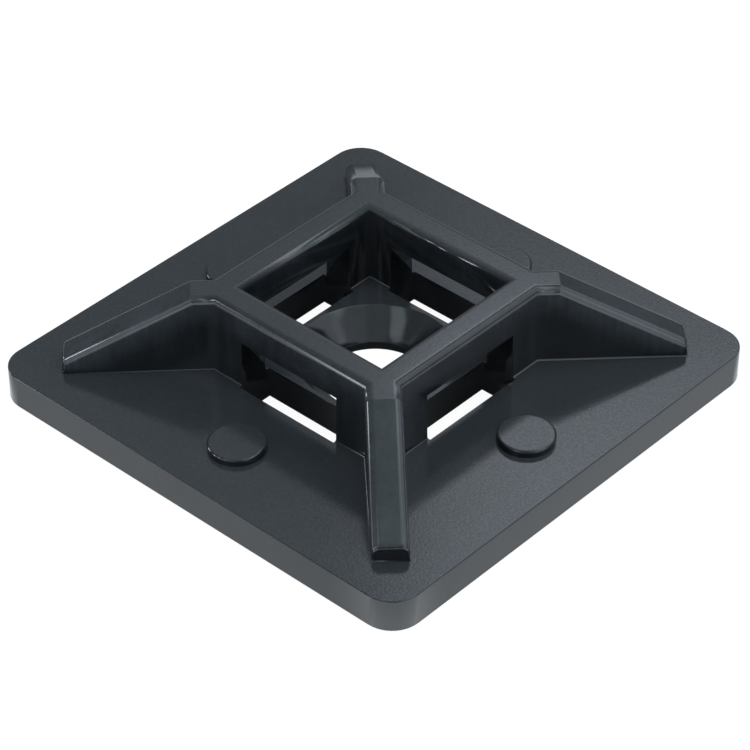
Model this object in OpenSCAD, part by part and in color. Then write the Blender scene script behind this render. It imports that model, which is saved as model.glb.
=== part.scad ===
// Four-way cable tie mount, moulded in one piece: a flat square plate with a
// windowed tower over a countersunk screw hole, braced by four sloping ribs.
// The origin is at the middle of the plate's underside. X and Y run along the
// plate's edges and +Z points out of the face that carries the tower.
// All sizes are in millimetres.

/* [Plate] */
// Side of the square plate
plate_w = 28; // [26:0.5:40]
// Thickness of the plate
plate_t = 1.9; // [1.7:0.1:3]
// Radius of the plate's four corners
plate_corner_r = 1.7; // [0.5:0.1:2.5]

/* [Tower] */
// Width of the tower across its outer faces, just under the rim
tower_w = 13; // [12.6:0.2:15]
// Height of the tower above the plate
tower_h = 4.6; // [4:0.1:7]
// Thickness of each wall of the tower
wall_t = 1.7; // [1.3:0.1:1.9]
// Spread of each outer face from the rim down to the plate
tower_draft = 0.08; // [0:0.02:0.3]
// Radius of the rim's outer edges and of the ribs' top edges
outer_edge_r = 0.42; // [0.2:0.02:0.5]
// Radius of the rim's inner edges
inner_edge_r = 0.36; // [0.2:0.02:0.5]

/* [Tie windows] */
// Clear width of each window, along the wall
window_w = 6.6; // [5:0.2:7.2]
// Clear height of each window above the plate
window_h = 2.7; // [1.8:0.1:3]
// Reach of the slot under each window past both faces of the wall
slot_lip = 0.25; // [0.1:0.05:0.25]

/* [Ribs] */
// Width of each rib
rib_w = 1.85; // [1.4:0.05:2.2]
// Level run of each rib's top past the tower's corner
rib_level = 0.28; // [0.1:0.02:1]
// Height of each rib's outer end above the plate
rib_end_h = 0.86; // [0.5:0.02:2]
// Gap between each rib's outer end and the plate's corner
rib_end_gap = 2.9; // [2:0.1:5]

/* [Screw hole] */
// Diameter of the clearance hole for the screw's shank
screw_bore_d = 5.7; // [4:0.1:5.9]
// Diameter of the countersink at the plate's upper face
screw_head_d = 8.6; // [7.6:0.1:8.8]
// Angle across the countersink
screw_head_angle = 90; // [82:1:100]

/* [Raised pads] */
// Diameter of each round pad
pad_d = 3.05; // [2:0.05:4]
// Height of each pad above the plate
pad_h = 0.4; // [0.3:0.05:0.8]
// Radius of each pad's upper edge
pad_edge_r = 0.14; // [0.05:0.01:0.25]

/* [Hidden] */
// Facets of a full circle
$fn = 64;
// Overshoot that makes a cut break cleanly through a face
cut = 1;
// Depth to which raised features are rooted in the plate
root = plate_t / 2;
rim_z = plate_t + tower_h;
well_w = tower_w - 2 * wall_t;
// Middle of the tower wall, out from the axis
wall_mid = (tower_w - wall_t) / 2;
slot_t = wall_t + 2 * slot_lip;
countersink_h = (screw_head_d - screw_bore_d) / 2 / tan(screw_head_angle / 2);
tower_corner = tower_w / 2 * sqrt(2);
plate_corner = plate_w / 2 * sqrt(2) - plate_corner_r * (sqrt(2) - 1);
rib_start = wall_mid * sqrt(2);
rib_crease = tower_corner + rib_level;
rib_end = plate_corner - rib_end_gap;
rib_slope = atan2(tower_h - rib_end_h, rib_end - rib_crease);
// Middle of the bare strip between the tower's foot and the plate's edge
pad_place = (plate_w / 2 + tower_w / 2 + tower_draft) / 2;
body_colour = [0.16, 0.18, 0.2];

// Flat shape from the origin down, with its two top corners rounded
module round_topped(width, depth, edge_r) {
    translate([-width / 2, -depth])
        square([width, depth - edge_r]);
    translate([-width / 2 + edge_r, -depth])
        square([width - 2 * edge_r, depth]);
    for (side = [-1, 1])
        translate([side * (width / 2 - edge_r), -edge_r])
            circle(edge_r);
}

// Stands a flat shape up and runs it along +X, from x = start to x = end
module run_along_x(start, end) {
    translate([start, 0, 0])
        rotate([90, 0, 90])
            linear_extrude(end - start)
                children();
}

// The part of space that one upright flat shape covers both along X and along Y
module square_turned(reach) {
    intersection() {
        run_along_x(-reach, reach)
            children();
        rotate([0, 0, 90])
            run_along_x(-reach, reach)
                children();
    }
}

// Square plate with rounded corners
module plate() {
    straight = plate_w - 2 * plate_corner_r;
    linear_extrude(plate_t) {
        square([plate_w, straight], center = true);
        square([straight, plate_w], center = true);
        for (x = [-1, 1], y = [-1, 1])
            translate([x, y] * straight / 2)
                circle(plate_corner_r);
    }
}

// Side view of the tower: drafted faces under a rim with rounded edges
module tower_outline() {
    half = tower_w / 2;
    foot = half + tower_draft;
    polygon([
        [-foot, plate_t - root],
        [foot, plate_t - root],
        [foot, plate_t],
        [half, rim_z - outer_edge_r],
        [-half, rim_z - outer_edge_r],
        [-foot, plate_t]
    ]);
    translate([0, rim_z])
        round_topped(tower_w, tower_h / 2, outer_edge_r);
}

// Solid block of the tower, before its well and windows are cut
module tower_block() {
    square_turned(tower_w)
        tower_outline();
}

// Square well down the tower, flared where the rim's inner edges are rounded
module well() {
    square_turned(tower_w)
        difference() {
            union() {
                translate([-well_w / 2, plate_t])
                    square([well_w, tower_h + cut]);
                translate([-well_w / 2 - inner_edge_r, rim_z - inner_edge_r])
                    square([well_w + 2 * inner_edge_r, inner_edge_r + cut]);
            }
            for (side = [-1, 1])
                translate([side * (well_w / 2 + inner_edge_r), rim_z - inner_edge_r])
                    circle(inner_edge_r);
        }
}

// Tie window through each wall, and the slot under it through the plate
module windows() {
    for (turn = [0:90:270])
        rotate([0, 0, turn])
            translate([wall_mid - slot_t / 2, -window_w / 2, -cut])
                cube([slot_t, window_w, cut + plate_t + window_h]);
}

// Brace from a corner of the tower towards a corner of the plate, its top at z = 0
module rib() {
    intersection() {
        run_along_x(rib_start, rib_end)
            round_topped(rib_w, tower_h + root, outer_edge_r);
        translate([rib_crease, 0, 0])
            rotate([0, rib_slope, 0])
                run_along_x(-rib_end, rib_end)
                    round_topped(rib_w, rib_end, outer_edge_r);
    }
}

// The four ribs, one on each diagonal, level with the rim where they start
module ribs() {
    for (turn = [45:90:315])
        translate([0, 0, rim_z])
            rotate([0, 0, turn])
                rib();
}

// Round raised pad with a rounded upper edge
module pad() {
    rotate_extrude() {
        translate([0, plate_t - root])
            square([pad_d / 2, root + pad_h - pad_edge_r]);
        translate([0, plate_t - root])
            square([pad_d / 2 - pad_edge_r, root + pad_h]);
        translate([pad_d / 2 - pad_edge_r, plate_t + pad_h - pad_edge_r])
            circle(pad_edge_r);
    }
}

// One pad beside each wall of the tower
module pads() {
    for (turn = [0:90:270])
        rotate([0, 0, turn])
            translate([pad_place, 0, 0])
                pad();
}

// Clearance hole and countersink for the fixing screw
module screw_hole() {
    translate([0, 0, -cut])
        cylinder(h = plate_t + 2 * cut, d = screw_bore_d);
    translate([0, 0, plate_t - countersink_h])
        cylinder(h = countersink_h, d1 = screw_bore_d, d2 = screw_head_d);
}

// The whole moulding
module tie_mount() {
    color(body_colour)
        difference() {
            union() {
                plate();
                tower_block();
                ribs();
                pads();
            }
            well();
            windows();
            screw_hole();
        }
}

tie_mount();
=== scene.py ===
"""Cable tie mount in moulded black nylon, on a white studio floor.

The moulding is a copy of the CAD frame's solid, with the small radii that a
mould leaves at every foot and edge, and with the grain of moulded nylon.
"""

import math

import bmesh
import bpy
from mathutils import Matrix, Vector


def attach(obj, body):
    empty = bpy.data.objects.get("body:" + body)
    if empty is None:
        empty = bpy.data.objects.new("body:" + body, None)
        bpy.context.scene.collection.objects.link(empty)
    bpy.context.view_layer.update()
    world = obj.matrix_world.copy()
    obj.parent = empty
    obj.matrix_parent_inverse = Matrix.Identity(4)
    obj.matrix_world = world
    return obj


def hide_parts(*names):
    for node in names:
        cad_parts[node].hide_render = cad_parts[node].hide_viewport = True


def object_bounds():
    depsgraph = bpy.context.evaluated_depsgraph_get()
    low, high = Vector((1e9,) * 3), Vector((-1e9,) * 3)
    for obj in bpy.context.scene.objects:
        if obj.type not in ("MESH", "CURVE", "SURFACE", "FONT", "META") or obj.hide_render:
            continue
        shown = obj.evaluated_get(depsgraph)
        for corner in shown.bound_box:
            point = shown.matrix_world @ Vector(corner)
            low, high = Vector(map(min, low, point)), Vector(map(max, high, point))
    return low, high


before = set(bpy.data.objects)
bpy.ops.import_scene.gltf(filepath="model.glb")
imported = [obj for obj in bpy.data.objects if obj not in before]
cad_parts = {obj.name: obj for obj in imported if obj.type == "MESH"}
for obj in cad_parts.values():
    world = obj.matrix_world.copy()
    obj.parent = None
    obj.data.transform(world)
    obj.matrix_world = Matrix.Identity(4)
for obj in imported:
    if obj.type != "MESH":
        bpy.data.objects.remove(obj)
CAD_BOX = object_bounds()

bl_info = {
    "name": "Cable Tie Mount",
    "version": (1, 0, 0),
    "blender": (4, 5, 0),
    "location": "3D View > Sidebar > Tie Mount",
    "description": "Finishes a moulded cable tie mount and its studio",
    "category": "Object",
}

NODE = "tie_mount"
BODY = "root"
MM = 0.001

# Where the moulding's features lie. Half the plate's side:
HALF = CAD_BOX[1].x
# Thickness of the plate, and radius of its corners
PLATE_T = 1.9 * MM
CORNER_R = 1.7 * MM
# Height of the tower's rim
RIM_Z = 6.5 * MM
# How far out each pad stands, and the reach within which its edges lie
PAD_PLACE = 10.29 * MM
PAD_REACH = 2.0 * MM
# How far out each rib starts to slope, and how far out it ends
RIB_CREASE = 9.47 * MM
RIB_END = 16.195 * MM
# How far each rib falls for every unit it runs outwards
RIB_FALL = 0.556

# How its edges are found. Least turn, in degrees, of a crease, a foot, an outside
# corner and a square edge:
CREASE_TURN = 2.0
FOOT_TURN = 30.0
CORNER_TURN = 40.0
SQUARE_TURN = 60.0
# How far a point may lie off a level or a rib's end face
OFF_LEVEL = 0.005 * MM
OFF_END = 0.02 * MM
# Height over the plate at which the top of a rib's end face starts
END_TOP = 0.2 * MM
# Height over the plate that the fillet at a rib's foot stays under
END_FOOT = 0.12 * MM
# How far inside and outside the crease line the rounded crease runs
CREASE_IN = 0.16 * MM
CREASE_OUT = 0.03 * MM
# How far in from the plate's side its rounded corners bring the rim
RIM_INSET = 0.6 * MM
# Gap under which points are one in the CAD mesh and after the bevels
CAD_MERGE = 0.0005 * MM
BEVEL_MERGE = 0.0002 * MM
# Turn under which CAD triangles lie in one flat, in degrees
FLAT_TURN = 0.3

# How the nylon is shaded. Upward part of a face's normal at which it starts to be
# level, and at which it is so in full, and the same for the glossy skin on the rim:
FLAT_UP = (0.8, 0.985)
RIM_UP = (0.95, 0.99)
# Detail and roughness of the noise that makes grain and streaks, and clouds
GRAIN_NOISE = (3.0, 0.6)
CLOUD_NOISE = (4.0, 0.55)
# Levels of that noise between which grain, skin, streaks and clouds set in
GRAIN_SPREAD = (0.3, 0.7)
SKIN_SPREAD = (0.35, 0.7)
STREAK_SPREAD = (0.1, 0.9)
CLOUD_SPREAD = (0.25, 0.75)
# Lightest shade of all, against the base colour
SHADE_SPAN = 3.0
# Darkest shade of level faces, and what grain and clouds add to it
FLAT_SHADE = 0.75
FLAT_GRAIN = 0.3
FLAT_CLOUDS = 0.2
# Darkest shade of walls, and what streaks and clouds add to it
WALL_SHADE = 0.25
WALL_STREAKS = 0.3
WALL_CLOUDS = 0.3
# Painted light and shade on the walls: their colour is lighter under their top edges and
# darker down towards the plate
# Gain of the walls away from their painted light, and what the painted light adds at its
# brightest
WALL_GAIN = 0.8
GLOW = 2.3
# Depth at which the painted light ends, depth over which it sets in, and its share at the
# edge
GLOW_DEPTH = 2.3 * MM
GLOW_EDGE = 0.4 * MM
GLOW_AT_EDGE = 0.5
# Where the painted light fades: over the plate, before a rib's end, and towards the middle
# of the tower's walls, where this share of it is left
GLOW_FOOT = 0.4 * MM
GLOW_END = 0.3 * MM
GLOW_INNER = 4.8 * MM
GLOW_OUTER = 8.2 * MM
GLOW_LEFT = 0.2
# Share of the grain's height that is left on walls
WALL_GRAIN = 0.06
# Strength of the grain's relief, and how far clouds change the roughness
RELIEF = 0.6
CLOUDY_GLOSS = 0.06
# Depths under the rim between which its glossy skin sets in
RIM_DEEP = 0.8 * MM
RIM_SHALLOW = 0.3 * MM

# The floor. Its depth under the moulding, so that their faces never share a plane:
FLOOR_GAP = 0.02 * MM
# Share of the floor's own white over the shadow that falls on it
FLOOR_SHARE = 0.88
# Strength of its white to the eye, a little over 1 so that it stays clean
FLOOR_WHITE = 1.07
# Strength of the painted light it gives in mirrored rays at the back and at the front, and
# between which places it changes, in halves of the plate's side
FLOOR_BACK = 0.3
FLOOR_FRONT = 1.07
FLOOR_FADE = (-2.0 * HALF, 0.4 * HALF)
# Painted light added to it beyond the front corner of the plate, and between which places
FLOOR_NEAR = 1.0
FLOOR_NEAR_FADE = (1.2 * HALF, 1.42 * HALF)
# Share of it that is left under the plate as a painted shadow, and how far inside and
# outside the plate's outline it changes
FLOOR_UNDER = 0.07
COVER_IN = 1.0 * MM
COVER_OUT = 0.3 * MM

# The light tent between its panels. Its level at the floor and halfway up, the height
# at which it stops rising, and what is added overhead between two heights, in degrees:
TENT_LOW = 0.16
TENT_HIGH = 0.37
TENT_RISE = math.radians(55)
TENT_TOP = 0.2
TENT_TOP_FADE = (math.radians(60), math.radians(85))
# Heights between which its cast changes
CAST_FADE = (math.radians(45), math.radians(52))

# Soft panels of the light tent. Each row has the left, right, lower and upper edge
# and the softness, in degrees, and then the level. The first are placed by their
# turn from +Y towards +X, and the others by their turn from -Y towards +X.
PANELS_OFF_PLUS_Y = (
    (-41.4, 5, 37.7, 49, 0.9, 1.27),
    (-41.4, 5, 28, 49, 2.0, 0.18),
    (-70, -41.6, 38, 75, 2, 0.05),
    (5, 76, 17, 62, 7, 0.95),
    (45, 80, 52, 72, 6, 0.7),
    (2, 60, 57, 75, 6, 1.9),
    (65, 112, 4, 36, 6, 1.3),
)
PANELS_OFF_MINUS_Y = (
    (18, 115, 34, 70, 8, 0.35),
    (60, 105, 36, 60, 6, 0.2),
    (66, 120, 65, 80, 5, 1.1),
    (-11, 8, 4, 43, 3.5, 1.25),
    (-12, 13, 43, 64, 2.5, 1.6),
    (-34, -11, 4, 36, 5, 0.6),
    (10, 32, -8, 12, 5, 1.2),
    (-33, -21, 24, 30.5, 1.5, 14.0),
    (-42, -36, 9, 22, 1.5, 4.0),
    (-45.5, -36, 0, 10, 1.4, 13.0),
    (-78, -63, 0, 11, 1.7, 10.0),
)
WHITE = (1.0, 1.0, 1.0, 1.0)
BLACK = (0.0, 0.0, 0.0, 1.0)
PAPER_GREY = (0.65, 0.65, 0.65, 1.0)
# Cast of the floor's painted light in mirrored rays, of the tent's low light and of its
# high light
FLOOR_CAST = (0.95, 1.0, 1.05, 1.0)
LOW_CAST = (0.93, 1.0, 1.11, 1.0)
HIGH_CAST = (0.80, 0.98, 0.98, 1.0)

# The camera. Its turn from -Y towards +X and its height, in degrees:
CAMERA_TURN = 42.352
CAMERA_HEIGHT = 38.42
CAMERA_DISTANCE = 0.165144
# The point it looks at
CAMERA_AIM = Vector((-0.4345, 0.4537, 0.0)) * MM
SENSOR_WIDTH = 36.0
NEAREST = 0.005
FARTHEST = 10.0
# Direction of the front of the studio, where the camera stands
FRONT = math.radians(CAMERA_TURN)


# ------------------------------------------------------------------ shaders


class Wire:
    """A node socket that takes part in Python arithmetic."""

    def __init__(self, shader, socket):
        self.shader = shader
        self.socket = socket

    def _maths(self, operation, first, second=None):
        values = {0: first}
        if second is not None:
            values[1] = second
        return self.shader.add("ShaderNodeMath", {"operation": operation}, values)

    def __add__(self, other):
        return self._maths("ADD", self, other)

    __radd__ = __add__

    def __sub__(self, other):
        return self._maths("SUBTRACT", self, other)

    def __rsub__(self, other):
        return self._maths("SUBTRACT", other, self)

    def __mul__(self, other):
        return self._maths("MULTIPLY", self, other)

    __rmul__ = __mul__

    def high(self, other):
        """The higher of this and another value."""
        return self._maths("MAXIMUM", self, other)

    def root(self):
        """The square root of this value."""
        return self._maths("SQRT", self)

    def size(self):
        """This value without its sign."""
        return self._maths("ABSOLUTE", self)

    def arc_sine(self):
        """Angle whose sine this is."""
        return self._maths("ARCSINE", self)

    def arc_tangent(self, other):
        """Angle whose tangent is this over the other value, round the full circle."""
        return self._maths("ARCTAN2", self, other)

    def band(self, start, end, soft):
        """One from start to end and zero outside, with soft edges."""
        opening = self.rise(start - soft, start + soft)
        return opening * self.rise(end + soft, end - soft)

    def rise(self, start, end, low=0.0, high=1.0):
        """A smooth step from low to high while this goes from start to end."""
        return self.shader.add(
            "ShaderNodeMapRange",
            {"interpolation_type": "SMOOTHSTEP"},
            {
                "Value": self,
                "From Min": start,
                "From Max": end,
                "To Min": low,
                "To Max": high,
            },
        )


class Shader:
    """Node tree of one material or world."""

    def __init__(self, owner):
        owner.use_nodes = True
        self.tree = owner.node_tree
        self.tree.nodes.clear()

    def add(self, kind, settings=None, values=None, out=0):
        """Adds one node: its settings, and then the values or links of its sockets."""
        node = self.tree.nodes.new(kind)
        for name, value in (settings or {}).items():
            setattr(node, name, value)
        for key, value in (values or {}).items():
            socket = node.inputs[key]
            if isinstance(value, Wire):
                self.tree.links.new(value.socket, socket)
            else:
                socket.default_value = value
        return Wire(self, node.outputs[out])

    def parts(self, kind, values, names):
        """Adds one node and gives several of its outputs."""
        node = self.add(kind, {}, values).socket.node
        return [Wire(self, node.outputs[name]) for name in names]

    def blend(self, factor, first, second):
        """The first colour where the factor is 0, and the second where it is 1."""
        return self.add(
            "ShaderNodeMix",
            {"data_type": "RGBA"},
            {"Factor": factor, "A": first, "B": second},
            out="Result",
        )

    def noise(self, place, size, detail, roughness):
        """Noise whose patches are about one size across."""
        return self.add(
            "ShaderNodeTexNoise",
            {"noise_dimensions": "3D"},
            {
                "Vector": place,
                "Scale": 1 / size,
                "Detail": detail,
                "Roughness": roughness,
            },
        )

    def end(self, kind, surface):
        """Joins the last shader to the output."""
        node = self.tree.nodes.new(kind)
        self.tree.links.new(surface.socket, node.inputs["Surface"])


def painted_wall_light(x, y, above):
    """Painted light that lightens the walls under their top edges, and fades towards the
    plate into painted shade.
    """
    out = (x.size() + y.size()) * math.sqrt(0.5)
    depth = RIM_Z - above - (out - RIB_CREASE).high(0.0) * RIB_FALL
    glow = depth.rise(0.0, GLOW_EDGE, low=GLOW_AT_EDGE)
    glow = glow * depth.rise(0.0, GLOW_DEPTH, low=GLOW, high=0.0)
    glow = glow * above.rise(PLATE_T, PLATE_T + GLOW_FOOT)
    glow = glow * out.rise(RIB_END, RIB_END - GLOW_END)
    from_middle = x.size().high(y.size())
    return glow * from_middle.rise(GLOW_INNER, GLOW_OUTER, low=GLOW_LEFT)


def moulded_nylon(looks):
    """Black nylon: fine grain on the faces that look up, smoother walls and radii."""
    material = bpy.data.materials.new("black_nylon")
    shader = Shader(material)
    place = shader.add("ShaderNodeTexCoord", out="Object")
    facing = shader.add("ShaderNodeTexCoord", out="Normal")
    up = shader.add("ShaderNodeSeparateXYZ", {}, {"Vector": facing}, out="Z")
    x, y, above = shader.parts("ShaderNodeSeparateXYZ", {"Vector": place}, "XYZ")
    flat = up.rise(*FLAT_UP)
    grain = shader.noise(place, looks.grain_size, *GRAIN_NOISE)
    cloud = shader.noise(place, looks.cloud_size, *CLOUD_NOISE)
    bump = shader.add(
        "ShaderNodeBump",
        {},
        {
            "Height": grain * (WALL_GRAIN + (1 - WALL_GRAIN) * flat),
            "Strength": RELIEF,
            "Distance": looks.grain_depth,
        },
    )
    rough = (
        looks.wall_roughness
        + (looks.top_roughness - looks.wall_roughness) * flat
        + CLOUDY_GLOSS * (cloud - 0.5)
    )
    drawn = shader.add(
        "ShaderNodeMapping",
        {"vector_type": "POINT"},
        {"Vector": place, "Scale": (1.0, 1.0, looks.streak_stretch)},
    )
    streak = shader.noise(drawn, looks.streak_size, *GRAIN_NOISE)
    on_flat = FLAT_SHADE + grain.rise(*GRAIN_SPREAD) * FLAT_GRAIN
    on_flat = on_flat + cloud * FLAT_CLOUDS
    on_wall = WALL_SHADE + streak.rise(*STREAK_SPREAD) * WALL_STREAKS
    on_wall = on_wall + cloud.rise(*CLOUD_SPREAD) * WALL_CLOUDS
    # Painted light and shade: walls lighter under their top edges, darker towards the
    # plate
    on_wall = on_wall * (WALL_GAIN + painted_wall_light(x, y, above))
    shade = on_flat * flat + on_wall * (1 - flat)
    lightest = (*[c * SHADE_SPAN for c in looks.base_colour], 1.0)
    tint = shader.blend(shade * (1 / SHADE_SPAN), BLACK, lightest)
    on_rim = above.rise(RIM_Z - RIM_DEEP, RIM_Z - RIM_SHALLOW) * up.rise(*RIM_UP)
    skin = grain.rise(*SKIN_SPREAD) * flat * looks.skin + on_rim * looks.rim_skin
    surface = shader.add(
        "ShaderNodeBsdfPrincipled",
        {},
        {
            "Base Color": tint,
            "Roughness": rough,
            "Normal": bump,
            "IOR": looks.ior,
            "Coat Weight": skin,
            "Coat Roughness": looks.top_roughness,
            "Coat IOR": looks.ior,
        },
    )
    shader.end("ShaderNodeOutputMaterial", surface)
    return material


# ------------------------------------------------------------------ moulding


def merged_copy(node, name):
    """A CAD node's mesh copied, its loose triangles merged and its flats made whole."""
    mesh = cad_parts[node].data.copy()
    mesh.name = name
    solid = bmesh.new()
    solid.from_mesh(mesh)
    bmesh.ops.remove_doubles(solid, verts=solid.verts, dist=CAD_MERGE)
    bmesh.ops.dissolve_limit(
        solid,
        angle_limit=math.radians(FLAT_TURN),
        verts=solid.verts,
        edges=solid.edges,
    )
    return mesh, solid


def turn_of(edge):
    """Turn between an edge's two faces, in degrees: above zero where it sticks out."""
    return math.degrees(edge.calc_face_angle_signed(0.0))


def bevelled(solid, edges, radius, steps):
    """Rounds edges to a radius."""
    bmesh.ops.bevel(
        solid,
        geom=edges,
        offset=radius,
        offset_type="OFFSET",
        segments=steps,
        profile=0.5,
        affect="EDGES",
        clamp_overlap=False,
        material=-1,
        loop_slide=True,
    )


def cleaned(solid):
    """Merges the points that bevels leave in one place, and drops empty faces."""
    bmesh.ops.remove_doubles(solid, verts=solid.verts, dist=BEVEL_MERGE)
    bmesh.ops.dissolve_degenerate(solid, dist=BEVEL_MERGE, edges=solid.edges)


def level_with(edge, height):
    """Whether both ends of an edge lie at one height."""
    return all(abs(v.co.z - height) < OFF_LEVEL for v in edge.verts)


def middle_of(edge):
    """The point halfway along an edge."""
    return (edge.verts[0].co + edge.verts[1].co) / 2


def is_at_pad(edge):
    """Whether this edge belongs to one of the round pads."""
    middle = middle_of(edge).xy
    return any(
        math.dist(middle, (x * PAD_PLACE, y * PAD_PLACE)) < PAD_REACH
        for x, y in ((1, 0), (0, 1), (-1, 0), (0, -1))
    )


def way_out(vertex):
    """How far out a point lies along the plate's diagonals."""
    return (abs(vertex.co.x) + abs(vertex.co.y)) * math.sqrt(0.5)


def is_at_rib_end(edge):
    """Whether this edge lies in the plane of a rib's end face."""
    return all(abs(way_out(v) - RIB_END) < OFF_END for v in edge.verts)


def is_rib_end(edge):
    """Whether this edge borders the top of a rib's end face."""
    at_top = all(v.co.z > PLATE_T + END_TOP for v in edge.verts)
    return at_top and is_at_rib_end(edge) and turn_of(edge) > CORNER_TURN


def is_at_foot(edge):
    """Whether something stands on the plate at this edge."""
    return turn_of(edge) < -FOOT_TURN and level_with(edge, PLATE_T)


def is_pad_foot(edge):
    """Whether a pad meets the plate at this edge."""
    return is_at_foot(edge) and is_at_pad(edge)


def is_rib_crease(edge):
    """Whether a rib's level top turns into its slope at this edge."""
    return turn_of(edge) > CREASE_TURN and all(
        -CREASE_IN < way_out(v) - RIB_CREASE < CREASE_OUT for v in edge.verts
    )


def is_rib_border(edge):
    """Whether this edge borders a rib's end face at its sides or at its foot."""
    climb = abs(edge.verts[0].co.z - edge.verts[1].co.z)
    at_side = turn_of(edge) > SQUARE_TURN and climb > 0.5 * edge.calc_length()
    at_foot = all(v.co.z < PLATE_T + END_FOOT for v in edge.verts)
    return is_at_rib_end(edge) and (at_side or at_foot)


def is_foot(edge):
    """Whether the tower or a rib meets the plate at this edge."""
    return is_at_foot(edge) and not is_at_pad(edge)


def is_plate_rim(edge):
    """Whether this edge runs round the outside of the plate, above or below."""
    middle = middle_of(edge)
    outside = max(abs(middle.x), abs(middle.y)) > HALF - RIM_INSET
    at_face = level_with(edge, PLATE_T) or level_with(edge, 0.0)
    return turn_of(edge) > SQUARE_TURN and outside and at_face


def is_sharp_corner(edge):
    """Whether this outside corner is still sharp, at a window, slot or rib's end."""
    return turn_of(edge) > CORNER_TURN and not is_at_pad(edge)


class TieMountLooks(bpy.types.PropertyGroup):
    """Sizes and finish of the moulding."""

    foot_radius: bpy.props.FloatProperty(
        name="Foot radius",
        description="Radius where the tower and the ribs meet the plate",
        default=0.08 * MM,
        min=0.01 * MM,
        max=0.15 * MM,
        unit="LENGTH",
        precision=5,
    )
    end_radius: bpy.props.FloatProperty(
        name="Rib end radius",
        description="Radius round the top of each rib's end face",
        default=0.14 * MM,
        min=0.01 * MM,
        max=0.25 * MM,
        unit="LENGTH",
        precision=5,
    )
    rim_radius: bpy.props.FloatProperty(
        name="Rim radius",
        description="Radius round the plate's outer edges",
        default=0.06 * MM,
        min=0.01 * MM,
        max=0.4 * MM,
        unit="LENGTH",
        precision=5,
    )
    corner_radius: bpy.props.FloatProperty(
        name="Corner radius",
        description="Radius at the sharp corners of windows, slots and rib ends",
        default=0.03 * MM,
        min=0.01 * MM,
        max=0.08 * MM,
        unit="LENGTH",
        precision=5,
    )
    base_colour: bpy.props.FloatVectorProperty(
        name="Base colour",
        description="Colour of the nylon",
        default=(0.0180, 0.0212, 0.0242),
        size=3,
        min=0.0,
        max=1.0,
        subtype="COLOR",
    )
    top_roughness: bpy.props.FloatProperty(
        name="Top roughness",
        description="Roughness of the grained faces that look up",
        default=0.12,
        min=0.0,
        max=1.0,
        subtype="FACTOR",
    )
    wall_roughness: bpy.props.FloatProperty(
        name="Wall roughness",
        description="Roughness of the walls and radii",
        default=0.12,
        min=0.0,
        max=1.0,
        subtype="FACTOR",
    )
    ior: bpy.props.FloatProperty(
        name="Index of refraction",
        description="Index of refraction of nylon",
        default=1.50,
        min=1.3,
        max=1.8,
    )
    grain_size: bpy.props.FloatProperty(
        name="Grain size",
        description="Size of the moulded grain",
        default=0.12 * MM,
        min=0.02 * MM,
        max=1.0 * MM,
        unit="LENGTH",
        precision=5,
    )
    grain_depth: bpy.props.FloatProperty(
        name="Grain depth",
        description="Depth of the moulded grain",
        default=0.0052 * MM,
        min=0.0,
        max=0.05 * MM,
        unit="LENGTH",
        precision=6,
    )
    rim_skin: bpy.props.FloatProperty(
        name="Rim skin",
        description="Weight of the glossy skin on the tower's level rim",
        default=0.38,
        min=0.0,
        max=1.0,
        subtype="FACTOR",
    )
    skin: bpy.props.FloatProperty(
        name="Skin",
        description="Greatest weight of the glossy skin on the grain",
        default=0.36,
        min=0.0,
        max=1.0,
        subtype="FACTOR",
    )
    streak_size: bpy.props.FloatProperty(
        name="Streak size",
        description="Width of the faint streaks down the walls",
        default=0.35 * MM,
        min=0.05 * MM,
        max=5 * MM,
        unit="LENGTH",
        precision=5,
    )
    streak_stretch: bpy.props.FloatProperty(
        name="Streak stretch",
        description="Height of the pattern of streaks against its width",
        default=0.15,
        min=0.01,
        max=1.0,
    )
    cloud_size: bpy.props.FloatProperty(
        name="Cloud size",
        description="Size of the soft clouds in gloss and colour",
        default=2.5 * MM,
        min=0.2 * MM,
        max=20 * MM,
        unit="LENGTH",
        precision=5,
    )


class StudioLooks(bpy.types.PropertyGroup):
    """Floor, lights and camera."""

    floor_size: bpy.props.FloatProperty(
        name="Floor size",
        description="Side of the square floor",
        default=3.0,
        min=0.1,
        unit="LENGTH",
    )
    overhead_size: bpy.props.FloatProperty(
        name="Overhead size",
        description="Side of the square panel over the object",
        default=0.2,
        min=0.01,
        unit="LENGTH",
    )
    overhead_height: bpy.props.FloatProperty(
        name="Overhead height",
        description="Height of the panel over the floor",
        default=0.5,
        min=0.05,
        unit="LENGTH",
    )
    overhead_level: bpy.props.FloatProperty(
        name="Overhead level",
        description="Light from the panel on a level face, where white paper is 1",
        default=0.6,
        min=0.0,
    )
    lens: bpy.props.FloatProperty(
        name="Lens",
        description="Focal length of the camera",
        default=150.58,
        min=10.0,
        unit="CAMERA",
    )


class OBJECT_OT_add_tie_mount(bpy.types.Operator):
    """Adds the finished moulding over its CAD solid"""

    bl_idname = "object.add_tie_mount"
    bl_label = "Tie Mount"
    bl_options = {"REGISTER", "UNDO"}

    def execute(self, context):
        looks = context.scene.tie_mount_looks
        mesh, solid = merged_copy(NODE, "tie_mount_moulding")
        for chosen, radius, steps in (
            (is_rib_end, looks.end_radius, 3),
            (is_foot, looks.foot_radius, 3),
            (is_plate_rim, looks.rim_radius, 3),
            (is_sharp_corner, looks.corner_radius, 2),
        ):
            bevelled(solid, [e for e in solid.edges if chosen(e)], radius, steps)
        cleaned(solid)
        for face in solid.faces:
            face.smooth = True
        for edge in solid.edges:
            edge.smooth = not (
                is_rib_crease(edge) or is_pad_foot(edge) or is_rib_border(edge)
            )
        solid.to_mesh(mesh)
        solid.free()
        mesh.materials.clear()
        mesh.materials.append(moulded_nylon(looks))
        piece = bpy.data.objects.new("tie_mount_moulding", mesh)
        context.collection.objects.link(piece)
        normals = piece.modifiers.new("Flat faces", "WEIGHTED_NORMAL")
        normals.mode = "FACE_AREA"
        normals.weight = 100
        normals.keep_sharp = True
        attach(piece, BODY)
        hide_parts(NODE)
        return {"FINISHED"}


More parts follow.
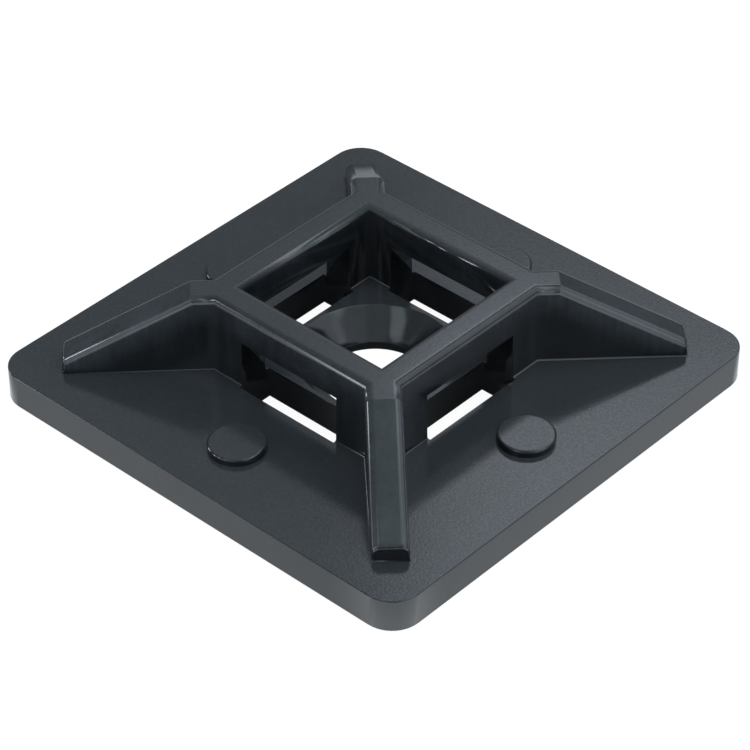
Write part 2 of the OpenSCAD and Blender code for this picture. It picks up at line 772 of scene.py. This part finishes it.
def white_ground(name):
    """White paper with a trace of the object's shadow, and clear from below. In mirrored
    rays it gives painted light, brighter towards the front, with a painted shadow under
    the plate.
    """
    material = bpy.data.materials.new(name)
    shader = Shader(material)
    camera, glossy, through = shader.parts(
        "ShaderNodeLightPath",
        {},
        ["Is Camera Ray", "Is Glossy Ray", "Is Transmission Ray"],
    )
    place = shader.add("ShaderNodeTexCoord", out="Object")
    x, y = shader.parts("ShaderNodeSeparateXYZ", {"Vector": place}, "XY")
    # Painted shadow: in mirrored rays the floor is dark under the plate
    past_x = (x.size() - (HALF - CORNER_R)).high(0.0)
    past_y = (y.size() - (HALF - CORNER_R)).high(0.0)
    from_corner = (past_x * past_x + past_y * past_y).root()
    outside_painted_shadow = from_corner.rise(
        CORNER_R - COVER_IN, CORNER_R + COVER_OUT, low=FLOOR_UNDER
    )
    # Painted light: in mirrored rays the floor is brighter towards the front
    towards_front = x * math.sin(FRONT) - y * math.cos(FRONT)
    mirrored = towards_front.rise(*FLOOR_FADE, low=FLOOR_BACK, high=FLOOR_FRONT)
    mirrored = mirrored + towards_front.rise(*FLOOR_NEAR_FADE, high=FLOOR_NEAR)
    mirrored = mirrored * outside_painted_shadow
    direct = camera.high(through)
    paper = shader.add("ShaderNodeBsdfDiffuse", {}, {"Color": PAPER_GREY})
    glow = shader.add(
        "ShaderNodeEmission",
        {},
        {
            "Color": shader.blend(direct, FLOOR_CAST, WHITE),
            "Strength": direct * FLOOR_WHITE + glossy * mirrored,
        },
    )
    mixed = shader.add(
        "ShaderNodeMixShader",
        {},
        {0: direct * FLOOR_SHARE + glossy, 1: paper, 2: glow},
    )
    clear = shader.add("ShaderNodeBsdfTransparent")
    beneath = shader.add("ShaderNodeNewGeometry", out="Backfacing")
    seen = shader.add("ShaderNodeMixShader", {}, {0: beneath, 1: mixed, 2: clear})
    shader.end("ShaderNodeOutputMaterial", seen)
    return material


def light_tent(name):
    """White to the eye, and a tent of soft panels to all that it lights."""
    world = bpy.data.worlds.new(name)
    shader = Shader(world)
    camera, through = shader.parts(
        "ShaderNodeLightPath", {}, ["Is Camera Ray", "Is Transmission Ray"]
    )
    direct = camera.high(through)
    way = shader.add("ShaderNodeTexCoord", out="Generated")
    x, y, z = shader.parts("ShaderNodeSeparateXYZ", {"Vector": way}, "XYZ")
    height = z.arc_sine()
    off_plus_y = x.arc_tangent(y)
    off_minus_y = x.arc_tangent(-1 * y)
    light = height.rise(0.0, TENT_RISE, low=TENT_LOW, high=TENT_HIGH)
    light = light + height.rise(*TENT_TOP_FADE, high=TENT_TOP)
    for turn, panels in (
        (off_plus_y, PANELS_OFF_PLUS_Y),
        (off_minus_y, PANELS_OFF_MINUS_Y),
    ):
        for *edges, level in panels:
            left, right, low, high, soft = [math.radians(edge) for edge in edges]
            across = turn.band(left, right, soft)
            light = light + across * height.band(low, high, soft) * level
    strength = direct + (1 - direct) * light
    cast = shader.blend(height.rise(*CAST_FADE), LOW_CAST, HIGH_CAST)
    tint = shader.blend(direct, cast, WHITE)
    sky = shader.add("ShaderNodeBackground", {}, {"Color": tint, "Strength": strength})
    shader.end("ShaderNodeOutputWorld", sky)
    return world


def around(azimuth, elevation, distance):
    """A point round the object, in degrees: azimuth 0 is at -Y and 90 at +X."""
    a = math.radians(azimuth)
    e = math.radians(elevation)
    return Vector(
        (math.sin(a) * math.cos(e), -math.cos(a) * math.cos(e), math.sin(e))
    ) * distance


class OBJECT_OT_add_tie_mount_studio(bpy.types.Operator):
    """Adds the floor, the soft lights, the world and the camera"""

    bl_idname = "object.add_tie_mount_studio"
    bl_label = "Studio"
    bl_options = {"REGISTER", "UNDO"}

    def execute(self, context):
        looks = context.scene.tie_mount_studio
        scene = context.scene

        mesh = bpy.data.meshes.new("studio_floor")
        plan = bmesh.new()
        bmesh.ops.create_grid(
            plan, x_segments=2, y_segments=2, size=looks.floor_size / 2
        )
        bmesh.ops.translate(plan, verts=plan.verts, vec=(0.0, 0.0, -FLOOR_GAP))
        plan.to_mesh(mesh)
        plan.free()
        mesh.materials.append(white_ground("white_floor"))
        floor = bpy.data.objects.new("studio_floor", mesh)
        context.collection.objects.link(floor)

        scene.world = light_tent("light_tent")
        overhead = bpy.data.lights.new("overhead_panel", "AREA")
        overhead.shape = "SQUARE"
        overhead.size = looks.overhead_size
        # Watts that give a level white face under the panel the level asked for
        overhead.energy = (
            looks.overhead_level * math.pi * math.pi * looks.overhead_height**2
        )
        panel = bpy.data.objects.new("overhead_panel", overhead)
        panel.location = (0.0, 0.0, looks.overhead_height)
        panel.visible_glossy = False
        context.collection.objects.link(panel)

        camera_data = bpy.data.cameras.new("studio_camera")
        camera_data.lens = looks.lens
        camera_data.sensor_width = SENSOR_WIDTH
        camera_data.clip_start = NEAREST
        camera_data.clip_end = FARTHEST
        camera_item = bpy.data.objects.new("studio_camera", camera_data)
        back = around(CAMERA_TURN, CAMERA_HEIGHT, CAMERA_DISTANCE)
        camera_item.location = CAMERA_AIM + back
        camera_item.rotation_mode = "QUATERNION"
        camera_item.rotation_quaternion = (-back).to_track_quat("-Z", "Y")
        context.collection.objects.link(camera_item)
        scene.camera = camera_item

        scene.view_settings.view_transform = "Standard"
        return {"FINISHED"}


class VIEW3D_PT_tie_mount(bpy.types.Panel):
    """Lists the pieces and their settings"""

    bl_idname = "VIEW3D_PT_tie_mount"
    bl_label = "Cable Tie Mount"
    bl_space_type = "VIEW_3D"
    bl_region_type = "UI"
    bl_category = "Tie Mount"

    def draw(self, context):
        layout = self.layout
        for group, operator in (
            (context.scene.tie_mount_looks, OBJECT_OT_add_tie_mount.bl_idname),
            (context.scene.tie_mount_studio, OBJECT_OT_add_tie_mount_studio.bl_idname),
        ):
            box = layout.box()
            for name in type(group).__annotations__:
                box.prop(group, name)
            box.operator(operator)


CLASSES = (
    TieMountLooks,
    StudioLooks,
    OBJECT_OT_add_tie_mount,
    OBJECT_OT_add_tie_mount_studio,
    VIEW3D_PT_tie_mount,
)


def register():
    """Adds the classes and the two groups of settings."""
    for item in CLASSES:
        bpy.utils.register_class(item)
    bpy.types.Scene.tie_mount_looks = bpy.props.PointerProperty(type=TieMountLooks)
    bpy.types.Scene.tie_mount_studio = bpy.props.PointerProperty(type=StudioLooks)


def unregister():
    """Takes away what register added."""
    del bpy.types.Scene.tie_mount_studio
    del bpy.types.Scene.tie_mount_looks
    for item in reversed(CLASSES):
        bpy.utils.unregister_class(item)


def main():
    """Builds the moulding and its studio."""
    register()
    bpy.ops.object.add_tie_mount()
    bpy.ops.object.add_tie_mount_studio()


if __name__ == "__main__":
    main()
